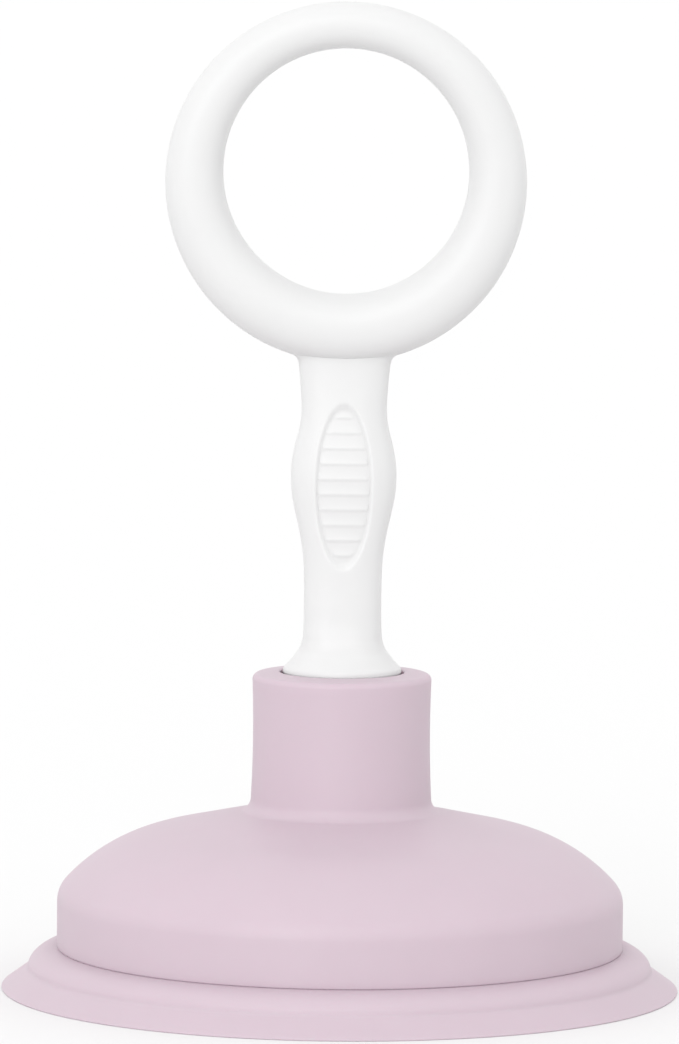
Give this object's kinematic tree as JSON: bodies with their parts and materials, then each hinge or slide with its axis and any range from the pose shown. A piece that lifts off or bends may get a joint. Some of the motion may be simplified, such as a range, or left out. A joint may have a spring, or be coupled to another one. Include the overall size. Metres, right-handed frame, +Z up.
{
  "type": "sink plunger",
  "caption": "Hand plunger for sinks: a soft rubber cup with a sealing lip, rolled step, low dome and collar, and a plastic handle with a swollen ribbed grip and a finger ring.",
  "frame": {"origin": "centre of the plane that the lip seals against, at the bottom of the object", "axes": "+Z up along the cup's and the handle's common axis; the finger ring's hole runs along Y, and +X is to the right seen from the front, which is -Y"},
  "size_m": [0.14, 0.14, 0.2043],
  "materials": {
    "cup_rubber": "matte, pale mauve",
    "handle_plastic": "satin, white"
  },
  "bodies": {
    "cup_skirt": {"sealing_lip": "cup_rubber", "rolled_step": "cup_rubber", "cup_band": "cup_rubber", "cup_dome": "cup_rubber"},
    "cup_collar": {"handle_collar": "cup_rubber"},
    "handle": {"handle_plug": "handle_plastic", "grip_shaft": "handle_plastic", "finger_ring": "handle_plastic"}
  },
  "joints": [
    {"name": "plunge_stroke", "type": "slide", "parent": "cup_skirt", "child": "cup_collar", "axis": [0, 0, -1], "range_m": [0, 0.012], "stiffness_N_per_m": 2500, "springref_m": -0.0005, "deforming": ["cup_dome"]},
    {"name": "handle_lift", "type": "slide", "parent": "cup_collar", "child": "handle", "axis": [0, 0, 1], "range_m": [0, 0.03]}
  ]
}
